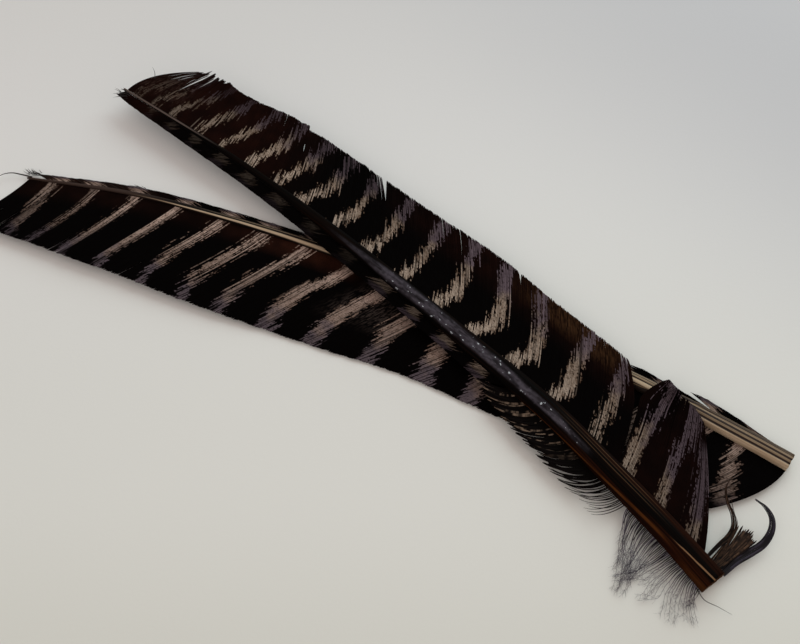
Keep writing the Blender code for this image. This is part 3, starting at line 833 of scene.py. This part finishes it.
# Path and half width of the painted blue-grey shine along the top
UPPER_SHINE = ([(50, -2.0), (80, -1.6), (110, -0.9), (140, -0.6), (165, -0.8), (190, -0.6)],
               [(50, 0.6), (70, 1.1), (110, 1.8), (150, 1.9), (168, 1.0), (190, 0.3)])
UPPER_FINE = [([(0, 2.7), (40, 2.5), (75, 2.3)], 0.14, 0.30), ([(0, 0.9), (45, 0.2), (75, 0.2)], 0.14, 0.25),
              ([(0, 1.8), (45, 1.3), (75, 1.2)], 0.12, 0.22)]


def upper_relief(a, w):
    ridge = 0.25 * line(a, w, *UPPER_MID_RIDGE) * (1 - smooth_step(a, 12, 24))
    side_groove = -0.28 * np.exp(-((w - 2.0) / 0.8) ** 2) * (1 - smooth_step(a, 60, 110))
    return ridge + side_groove


def upper_paint(a, w, h):
    top = smooth_step(h, -0.6, 0.4)
    side = smooth_step(-w, 2.6, 3.3)
    golden = 0.7 * smooth_step(-w, 3.4, 4.1) * (1 - smooth_step(a, 3, 14)) * smooth_step(h, -1.6, -0.2)
    red = smooth_step(-w, 1.2, 2.6) * (1 - smooth_step(a, 14, 34)) + 0.5 * side * (1 - smooth_step(a, 50, 80))
    red = red + 0.5 * smooth_step(w, 1.2, 2.0) * (1 - smooth_step(a, 45, 80))
    # A painted blue-grey shine along the top, with white glints painted on the flakes inside it
    shine = line(a, w, *UPPER_SHINE) * smooth_step(a, 54, 66) * (1 - smooth_step(a, 150, 186)) * top
    flaky = smooth_step(shine, 0.05, 0.5) * smooth_step(a, 54, 62) * (1 - smooth_step(a, 150, 160))
    values = {"golden": golden, "red": np.clip(red, 0.0, 1.0), "shine": shine, "flaky": flaky}
    # The golden line down the side is a painted highlight along the shaft's edge
    fade = side * smooth_step(a, 14, 26) * (1 - smooth_step(a, 125, 155))
    fade = fade * (1 - 0.6 * smooth_step(a, 80, 100))
    values["flank_line"] = stripe_values(a, h, *UPPER_EDGE_HIGHLIGHT, fade)
    values["mid_line"] = stripe_values(a, w, *UPPER_MID_RIDGE, top * (1 - smooth_step(a, 13, 19)))
    for i, (path, half, strength) in enumerate(UPPER_FINE):
        fade = strength * top * smooth_step(a, 18, 42) * (1 - smooth_step(a, 56, 78))
        values[f"fine_line_{i}"] = stripe_values(a, w, path, [(0, half), (290, half)], fade)
    values["far_line"] = stripe_values(a, w, *UPPER_FAR_LINE, 0.9 * top * smooth_step(a, 236, 264))
    return values


LOWER_CREAM = ([(0, 2.75), (30, 2.7), (55, 0.6), (110, 0.6), (180, 1.0), (215, 0.6), (240, 0.7), (302, 0.2)],
               [(0, 0.85), (40, 0.80), (180, 0.60), (210, 0.42), (232, 0.26), (256, 0.10)])
# Thin lines beside the cream strip: path, half width, how cream and how olive they are, fading out
LOWER_LINES = [
    ([(0, 0.65), (30, 0.6), (55, -1.1), (100, -1.1)], 0.42, 0.30, 1.0, 130),
    ([(0, -0.85), (30, -0.9), (55, -2.0), (100, -2.0)], 0.24, 0.45, 1.0, 130),
    ([(0, -1.75), (30, -1.7), (55, 1.9), (100, 1.9)], 0.20, 0.0, 0.8, 130),
    ([(0, -2.6), (55, -2.9), (100, -2.6)], 0.28, 0.1, 0.9, 130),
    ([(0, -1.2), (180, -0.75), (240, -0.5)], 0.15, 0.35, 0.6, 235),
]


def lower_relief(a, w):
    cream = 0.18 * line(a, w, *LOWER_CREAM) * (1 - smooth_step(a, 150, 230))
    groove = -0.30 * line(a, w, [(0, 1.5), (30, 1.4), (55, -0.4), (302, -0.4)], [(0, 0.25), (302, 0.15)])
    second = -0.20 * line(a, w, [(0, -0.2), (55, -1.6), (302, -0.3)], [(0, 0.25), (302, 0.1)])
    return cream + (groove + second) * (1 - smooth_step(a, 120, 200))


def lower_paint(a, w, h):
    top = smooth_step(h, -0.8, 0.2)
    brown = 0.5 * (1 - smooth_step(a, 40, 70)) + smooth_step(a, 240, 268)
    values = {"olive": (1 - top) * 0.6 * (1 - smooth_step(a, 90, 140)), "brown": np.clip(brown, 0.0, 1.0)}
    fade = smooth_step(h, -1.6, -0.9) * (1 - smooth_step(a, 236, 262))
    values["cream_line"] = stripe_values(a, w, *LOWER_CREAM, fade)
    for i, (path, half, _, _, end) in enumerate(LOWER_LINES):
        fade = top * (1 - smooth_step(a, end - 25, end))
        values[f"line_{i}"] = stripe_values(a, w, path, [(0, half), (302, half)], fade)
    return values


# ---------------------------------------------------------------- tufts and loose barbs


def finish_strands(obj, count, rings, sides, seed, material, body, slot, strength, *nodes):
    """Attributes and dress of a bundle of strands."""
    share = np.broadcast_to(np.linspace(0, 1, rings), (count, rings))
    number = np.arange(count)[:, None] * 1.7 + seed * 11.0 + 0.0 * share
    grain = np.stack([share * 12.0, number, 0.0 * share], -1)
    add_attribute(obj, "share", spread(share, sides))
    add_attribute(obj, "strength", spread(np.broadcast_to(np.reshape(strength, (-1, 1)), share.shape), sides))
    add_attribute(obj, "grain", np.repeat(grain.reshape(-1, 3), sides, axis=0))
    dress(obj, material, body, slot, *nodes)


def along_route(route, shares):
    """Feather coordinates at shares of a route given as (a, w, h) points."""
    curve = smooth_curve([(i / (len(route) - 1), p) for i, p in enumerate(route)])
    return curve(shares)


def make_fringe(material):
    """Unhooked barbs that sweep from the upper shaft over the lower feather."""
    rng = np.random.default_rng(41)
    roots = np.concatenate([np.arange(36.5, 58.0, 0.62), np.arange(58.0, 92.0, 0.40)])
    count, rings = len(roots), 16
    roots = roots + rng.normal(0, 0.12, count)
    shares = np.linspace(0, 1, rings)
    reach = smooth_curve([(36, 10.5), (45, 11.0), (60, 10.6), (80, 9.6), (92, 5.4)])(roots)
    sweep = smooth_curve([(36, 4.5), (42, 9.0), (60, 11.0), (92, 12.0)])(roots)
    reach = reach * rng.uniform(0.86, 1.05, count)
    sweep = sweep * rng.uniform(0.85, 1.15, count)
    inner = upper.half_width(roots / upper.length) - 0.2
    a = roots[:, None] + sweep[:, None] * shares**1.7
    w = -(inner[:, None] + reach[:, None] * (1.25 * shares - 0.25 * shares**3))
    h = -0.5 - 0.5 * shares + 0.25 * rng.normal(0, 1, count)[:, None] * shares
    paths = upper.place(np.stack([a, w, np.broadcast_to(h, a.shape)], -1))
    solid = smooth_step(roots, 42, 54)[:, None]
    half = (0.17 + 0.27 * solid) * (1.0 - 0.75 * shares ** (1.6 + 3.0 * solid))
    obj = tubes("barb_fringe_strands", paths, half, 0.09 + 0.0 * half)
    strength = np.where(rng.random(count) < 0.25, 0.6, 0.0) * smooth_step(roots, 55, 68)
    finish_strands(obj, count, rings, 4, 41, material, "barb_fringe", "down", strength, "upper_barb_fringe")


def make_down(material):
    """Soft grey barbs with tiny side hairs, hanging from the upper quill to the floor."""
    rng = np.random.default_rng(57)
    count, rings = 62, 26
    roots = np.linspace(0.8, 35.0, count) + rng.normal(0, 0.10, count)
    shares = np.linspace(0, 1, rings)
    clump = np.arange(count) // 3
    together = rng.normal(0, 1.0, clump[-1] + 1)[clump]
    reach = smooth_curve([(0, 9), (4, 13), (9, 17), (14, 21), (22, 23), (30, 21), (35, 19)])(roots)
    drift = smooth_curve([(0, -4), (5, -5), (10, -1), (14, 3.0), (20, -2), (27, -8), (35, -13)])(roots)
    reach = reach * (0.82 + 0.16 * rng.uniform(-1, 1, clump[-1] + 1)[clump]) * rng.uniform(0.85, 1.1, count)
    drift = drift + 1.5 * together + rng.normal(0, 0.35, count)
    inner = upper.half_width(roots / upper.length) - 0.2
    phase = 1.2 * together[:, None] + rng.uniform(0, 1.4, (count, 3))
    wave = (0.7 * np.sin(6.0 * shares + phase[:, :1]) + 0.35 * np.sin(13.0 * shares + phase[:, 1:2])) * shares
    a = roots[:, None] + drift[:, None] * shares**1.5 + wave * 1.3
    w = -(inner[:, None] + reach[:, None] * shares) + 0.5 * wave
    base = np.interp(roots, [0, 35], [3.5, 4.3])
    floor = 0.35 + 1.2 * rng.random(count)
    h = -0.8 - (base - 0.8 - floor)[:, None] * shares**0.9 + 0.2 * np.sin(7 * shares + phase[:, 2:]) * shares
    h = np.maximum(h, 0.3 - base[:, None])
    coordinates = np.stack([a, w, h], -1)
    half = 0.085 * (1.0 - 0.6 * shares) + 0.13 * np.exp(-((shares / 0.3) ** 2))
    half = half * rng.uniform(0.8, 1.2, (count, 1))
    obj = tubes("down_strands", upper.place(coordinates), half, half, sides=3)
    strength = rng.random(count)
    finish_strands(obj, count, rings, 3, 57, material, "down_tuft", "down", strength, "upper_down_tuft")

    hairs_each = 18
    at = np.sort(rng.uniform(0.34, 0.98, (count, hairs_each)), axis=1)
    index = at * (rings - 1)
    low = np.floor(index).astype(int)
    strand = np.arange(count)[:, None]
    step = coordinates[strand, low + 1] - coordinates[strand, low]
    foot = coordinates[strand, low] + step * (index - low)[..., None]
    ahead = unit(step)
    sideways = np.stack([-ahead[..., 1], ahead[..., 0], 0.0 * at], -1)
    flip = np.where(rng.random(at.shape) < 0.5, -1.0, 1.0)[..., None]
    size = rng.uniform(0.7, 1.9, at.shape)[..., None]
    lift = np.stack([0.0 * at, 0.0 * at, np.abs(rng.normal(0, 0.2, at.shape))], -1)
    reach_out = (ahead * 0.75 + sideways * flip * 0.8 + lift) * size
    steps = np.linspace(0, 1, 3)[None, None, :, None]
    bend = ahead[:, :, None] * 0.35 * size[:, :, None] * steps**2
    hairs = (foot[:, :, None] + reach_out[:, :, None] * steps + bend).reshape(-1, 3, 3)
    thin = np.broadcast_to(np.array([0.030, 0.022, 0.010]), hairs.shape[:2])
    obj = tubes("down_barbules", upper.place(hairs), thin, thin, sides=3, columns=8)
    finish_strands(obj, len(hairs), 3, 3, 58, material, "down_tuft", "down", 0.8 * np.ones(len(hairs)))


def make_frayed_fan(material):
    """Short ragged barbs that still hold together, beside the cut."""
    rng = np.random.default_rng(63)
    count, rings = 20, 14
    place = np.linspace(0, 1, count)
    shares = np.linspace(0, 1, rings)
    foot = 2.0 + 3.4 * place
    end_a = 1.8 + 8.0 * place + rng.normal(0, 0.15, count)
    end_w = 20.0 + 2.0 * np.sin(pi * place * 0.9) - 1.6 * place + rng.normal(0, 0.7, count)
    a = foot[:, None] + (end_a - foot)[:, None] * shares**1.6
    w = 4.4 + (end_w - 4.4)[:, None] * shares
    h = -0.3 + 0.25 * np.sin(pi * shares)[None, :] + 0.12 * rng.normal(0, 1, count)[:, None] * shares
    half = 0.26 * (0.8 + 0.4 * shares) * (1.0 - 0.8 * smooth_step(shares, 0.93, 1.0))
    half = np.broadcast_to(half, a.shape)
    paths = upper.place(np.stack([a, w, h], -1))
    obj = tubes("frayed_fan_barbs", paths, half, 0.09 + 0.0 * half)
    finish_strands(obj, count, rings, 4, 63, material, "frayed_fan", "loose_barb", rng.random(count),
                   "upper_frayed_fan")


def make_bundle(name, feather, route, count, width, thickness, material, body, slot, seed, *nodes):
    """A few barbs that cling together along one route and meet at its end."""
    rng = np.random.default_rng(seed)
    rings = 40
    shares = np.linspace(0, 1, rings)
    middle = along_route(route, shares)
    ahead = unit(np.gradient(middle, axis=0))
    across = unit(np.stack([ahead[:, 1], -ahead[:, 0], 0.0 * shares], -1))
    offset = (np.arange(count) - (count - 1) / 2) * width
    close = (0.35 + 0.65 * np.sin(pi * np.clip(0.08 + shares, 0, 1)) ** 0.6) * (1.0 - 0.5 * shares**3)
    wander = 0.06 * np.sin(9 * shares[None, :] + rng.uniform(0, 6, (count, 1)))
    paths = middle[None] + across[None] * (offset[:, None] * close + wander * (count > 1))[..., None]
    paths[..., 2] += rng.normal(0, 0.05, (count, 1))
    half = np.broadcast_to(0.62 * width * (1.0 - 0.8 * shares**2), (count, rings))
    deep = np.broadcast_to(thickness * (1.0 - 0.7 * shares**2), (count, rings))
    obj = tubes(name, feather.place(paths), half, deep)
    finish_strands(obj, count, rings, 4, seed, material, body, slot, rng.random(count), *nodes)


def make_loose_barbs(looks):
    """The strands that stand away from both feathers."""
    barb, violet, hair = looks["loose_barb"], looks["curled_barb"], looks["hair"]
    make_bundle("long_strand_barbs", upper,
                [(7.4, 4.6, 0.2), (8.0, 10.0, 0.4), (8.3, 14.5, 0.4), (9.6, 18.0, 0.6), (12.5, 20.4, 1.0),
                 (16.4, 22.0, 1.4), (19.6, 24.6, 1.8), (20.8, 27.4, 2.2)],
                4, 0.40, 0.17, barb, "long_strands", "loose_barb", 71, "upper_long_strand")
    make_bundle("short_strand_barbs", upper,
                [(5.9, 4.6, 0.5), (7.0, 11.0, 1.0), (7.7, 15.2, 1.4), (9.4, 18.8, 1.8), (12.5, 20.6, 2.2),
                 (16.5, 23.2, 2.8)],
                2, 0.28, 0.13, barb, "long_strands", "loose_barb", 72, "upper_short_strand")
    make_bundle("curled_strand_barbs", upper,
                [(0.6, 4.6, -0.8), (1.0, 11.0, -0.8), (0.4, 16.2, -0.7), (-0.1, 21.7, 0.1), (1.2, 26.2, 1.2),
                 (4.0, 28.9, 2.6), (7.8, 29.3, 4.0), (11.6, 28.2, 4.8)],
                6, 0.48, 0.17, violet, "curled_strand", "loose_barb", 73, "upper_curled_strand")
    make_bundle("tip_hair_strand", lower,
                [(300.0, -0.4, 0.5), (304.5, -0.6, 0.8), (308.0, -0.3, 1.4), (311.0, 1.4, 1.9),
                 (313.4, 4.4, 2.0)],
                1, 0.5, 0.22, hair, "tip_hair", "loose_barb", 74, "lower_tip_hair")
    make_bundle("base_hair", upper,
                [(2.0, -4.6, -2.2), (-2.0, -5.0, -2.6), (-6.0, -3.2, -2.4), (-10.5, -1.2, -2.8)],
                1, 0.22, 0.09, hair, "upper_feather", "loose_barb", 75)
    make_bundle("tip_edge_hair", upper,
                [(283.5, 11.0, 0.5), (285.5, 13.2, 0.9), (287.6, 14.4, 1.4)],
                1, 0.2, 0.08, hair, "tip_panel", "loose_barb", 76)


def make_end_tufts(material):
    """Short spiky barbs at the very tips and a stray one on the lower feather's leading edge."""
    rng = np.random.default_rng(83)
    places = [(upper, "upper_feather", 289.0, -2.0, 1.6, 26, "upper_end_tuft"),
              (lower, "lower_feather", 300.5, -2.3, 0.9, 24, "lower_end_tuft"),
              (lower, "lower_feather", 257.0, -3.5, 0.1, 5, "lower_edge_tuft")]
    shares = np.linspace(0, 1, 7)
    for feather, body, at, middle, spread_out, count, name in places:
        start_a = at + rng.uniform(-3.5, 1.5, count)
        turn = rng.uniform(-0.9, 0.5, count)
        size = rng.uniform(1.6, 3.4, count)
        a = start_a[:, None] + size[:, None] * np.cos(turn)[:, None] * shares
        w0 = middle + spread_out * rng.uniform(-1.0, 1.0, count)
        w = w0[:, None] + size[:, None] * (np.sin(turn)[:, None] * shares - 0.15 * shares**2)
        h = 0.15 + 0.35 * rng.random(count)[:, None] * shares
        half = np.broadcast_to(0.15 * (1 - 0.8 * shares), a.shape)
        obj = tubes(name, feather.place(np.stack([a, w, h], -1)), half, 0.7 * half)
        finish_strands(obj, count, 7, 4, 83, material, body, "loose_barb", rng.random(count))


# ---------------------------------------------------------------- stage


FLOOR_REACH = 1.6
SWELL = 0.00003
AMBIENT = (1.0, 0.855, 0.79, 1.0)
AMBIENT_STRENGTH = 0.56
# Lights, both aimed at the middle: name, place, size, power and colour
LIGHTS = [
    ("window", (0.66, 0.90, 0.60), 1.3, 11.0, (0.84, 1.0, 1.0)),
    ("fill", (-0.6, -0.7, 1.2), 1.0, 1.6, (1.0, 0.97, 0.94)),
]
LENS = 50.0
SENSOR_WIDTH = 36.0
CAMERA_DISTANCE = 0.40
CAMERA_ELEVATION = radians(60.0)
CAMERA_TARGET = Vector((0.0124, -0.0020, 0.0))


def make_floor():
    """A large, very slightly uneven sheet of pale board under the feathers."""
    cells = 40
    line_up = np.linspace(-FLOOR_REACH, FLOOR_REACH, cells)
    x, y = np.meshgrid(line_up, line_up, indexing="ij")
    z = -0.0001 - SWELL * (1 + np.sin(9 * x) * np.cos(7 * y))
    top = np.stack([x, y, z], -1).reshape(-1, 3)
    verts = np.concatenate([top, top - [0, 0, 0.01]])
    i, j = np.meshgrid(np.arange(cells - 1), np.arange(cells - 1), indexing="ij")
    q = (i * cells + j).ravel()
    quads = np.stack([q, q + cells, q + cells + 1, q + 1], -1)
    steps = np.arange(cells - 1)
    border = np.concatenate([np.arange(cells), steps * cells + 2 * cells - 1, cells * cells - 2 - steps,
                             (cells - 2 - steps[:-1]) * cells])
    ahead = np.roll(border, -1)
    sides = np.stack([border, ahead, ahead + len(top), border + len(top)], -1)
    faces = quads.tolist() + (quads + len(top))[:, ::-1].tolist() + sides.tolist()
    obj = make_mesh("floor", verts, faces)
    obj.data.materials.append(floor_material())


def make_light(name, place, size, power, colour):
    data = bpy.data.lights.new(name, "AREA")
    data.shape = "DISK"
    data.size = size
    data.energy = power
    data.color = colour
    obj = bpy.data.objects.new(name, data)
    obj.location = place
    obj.rotation_euler = (-Vector(place)).to_track_quat("-Z", "Y").to_euler()
    bpy.context.scene.collection.objects.link(obj)


def make_camera():
    data = bpy.data.cameras.new("camera")
    data.lens = LENS
    data.sensor_width = SENSOR_WIDTH
    data.clip_start = 0.01
    obj = bpy.data.objects.new("camera", data)
    back = Vector((0.0, -cos(CAMERA_ELEVATION), sin(CAMERA_ELEVATION)))
    obj.location = CAMERA_TARGET + back * CAMERA_DISTANCE
    obj.rotation_euler = (-back).to_track_quat("-Z", "Y").to_euler()
    bpy.context.scene.collection.objects.link(obj)
    bpy.context.scene.camera = obj


def light_stage():
    world = bpy.data.worlds.new("studio")
    world.use_nodes = True
    background = world.node_tree.nodes["Background"]
    background.inputs["Color"].default_value = AMBIENT
    background.inputs["Strength"].default_value = AMBIENT_STRENGTH
    bpy.context.scene.world = world
    for light in LIGHTS:
        make_light(*light)
    bpy.context.scene.view_settings.view_transform = "Standard"


# ---------------------------------------------------------------- build


# Each vane's violet is a painted grey-violet sheen at its outer edge, and its grey haze colour a painted
# sheen on the dark ground
VANE_COLOURS = {
    "upper": {
        "cream": (0.47, 0.385, 0.315), "violet": (0.130, 0.10, 0.120), "red_brown": (0.012, 0.0035, 0.0022),
        "tan_brown": (0.085, 0.042, 0.019), "painted_sheen": (0.055, 0.034, 0.028),
    },
    "lower": {
        "cream": (0.53, 0.405, 0.345), "violet": (0.150, 0.120, 0.140), "red_brown": (0.036, 0.012, 0.007),
        "tan_brown": (0.110, 0.060, 0.040), "painted_sheen": (0.050, 0.038, 0.034),
    },
}
STRAND_COLOURS = {
    "down": {
        "root": (0.002, 0.0014, 0.0014), "tip": (0.060, 0.050, 0.070), "streak": (0.12, 0.105, 0.145),
        "roughness": 0.7, "specular": 0.03,
    },
    "fringe": {
        "root": (0.002, 0.0014, 0.0012), "tip": (0.003, 0.002, 0.002), "streak": (0.26, 0.19, 0.14),
        "roughness": 0.65, "specular": 0.02,
    },
    "loose_barb": {
        "root": (0.003, 0.002, 0.002), "tip": (0.010, 0.005, 0.0035), "streak": (0.075, 0.042, 0.025),
        "roughness": 0.6, "specular": 0.08,
    },
    "curled_barb": {
        "root": (0.004, 0.003, 0.004), "tip": (0.004, 0.0035, 0.008), "streak": (0.040, 0.034, 0.055),
        "roughness": 0.5, "specular": 0.2,
    },
    "hair": {
        "root": (0.004, 0.003, 0.003), "tip": (0.008, 0.006, 0.006), "streak": (0.02, 0.015, 0.015),
        "roughness": 0.5, "specular": 0.2,
    },
}
# The bars and the ground of each kind of vane
PATTERNS = {
    ("upper", "wide"): (UPPER_BARS, upper_ground),
    ("upper", "narrow"): (UPPER_NARROW_BARS, upper_narrow_ground),
    ("lower", "wide"): (LOWER_BARS, lower_ground),
    ("lower", "narrow"): (LOWER_NARROW_BARS, lower_narrow_ground),
}


def main():
    vane_looks = {key: vane_material(f"{key}_vane_look", **colours) for key, colours in VANE_COLOURS.items()}
    panels = [("upper", upper, panel) for panel in UPPER_PANELS]
    panels += [("lower", lower, panel) for panel in LOWER_PANELS]
    for number, (key, feather, panel) in enumerate(panels):
        make_vane(feather, *panel, *PATTERNS[key, panel[2]], vane_looks[key], f"{key}_vane", 11 + number)

    make_shaft("upper", upper, upper_relief, upper_paint, upper_shaft_material(), 31)
    make_shaft("lower", lower, lower_relief, lower_paint, lower_shaft_material(), 32)
    foam = pith_material()
    make_pith("upper", upper, foam, 33)
    make_pith("lower", lower, foam, 34)

    looks = {key: strand_material(f"{key}_look", **colours) for key, colours in STRAND_COLOURS.items()}
    make_fringe(looks["fringe"])
    make_down(looks["down"])
    make_frayed_fan(looks["loose_barb"])
    make_loose_barbs(looks)
    make_end_tufts(looks["hair"])

    make_floor()
    light_stage()
    make_camera()


main()
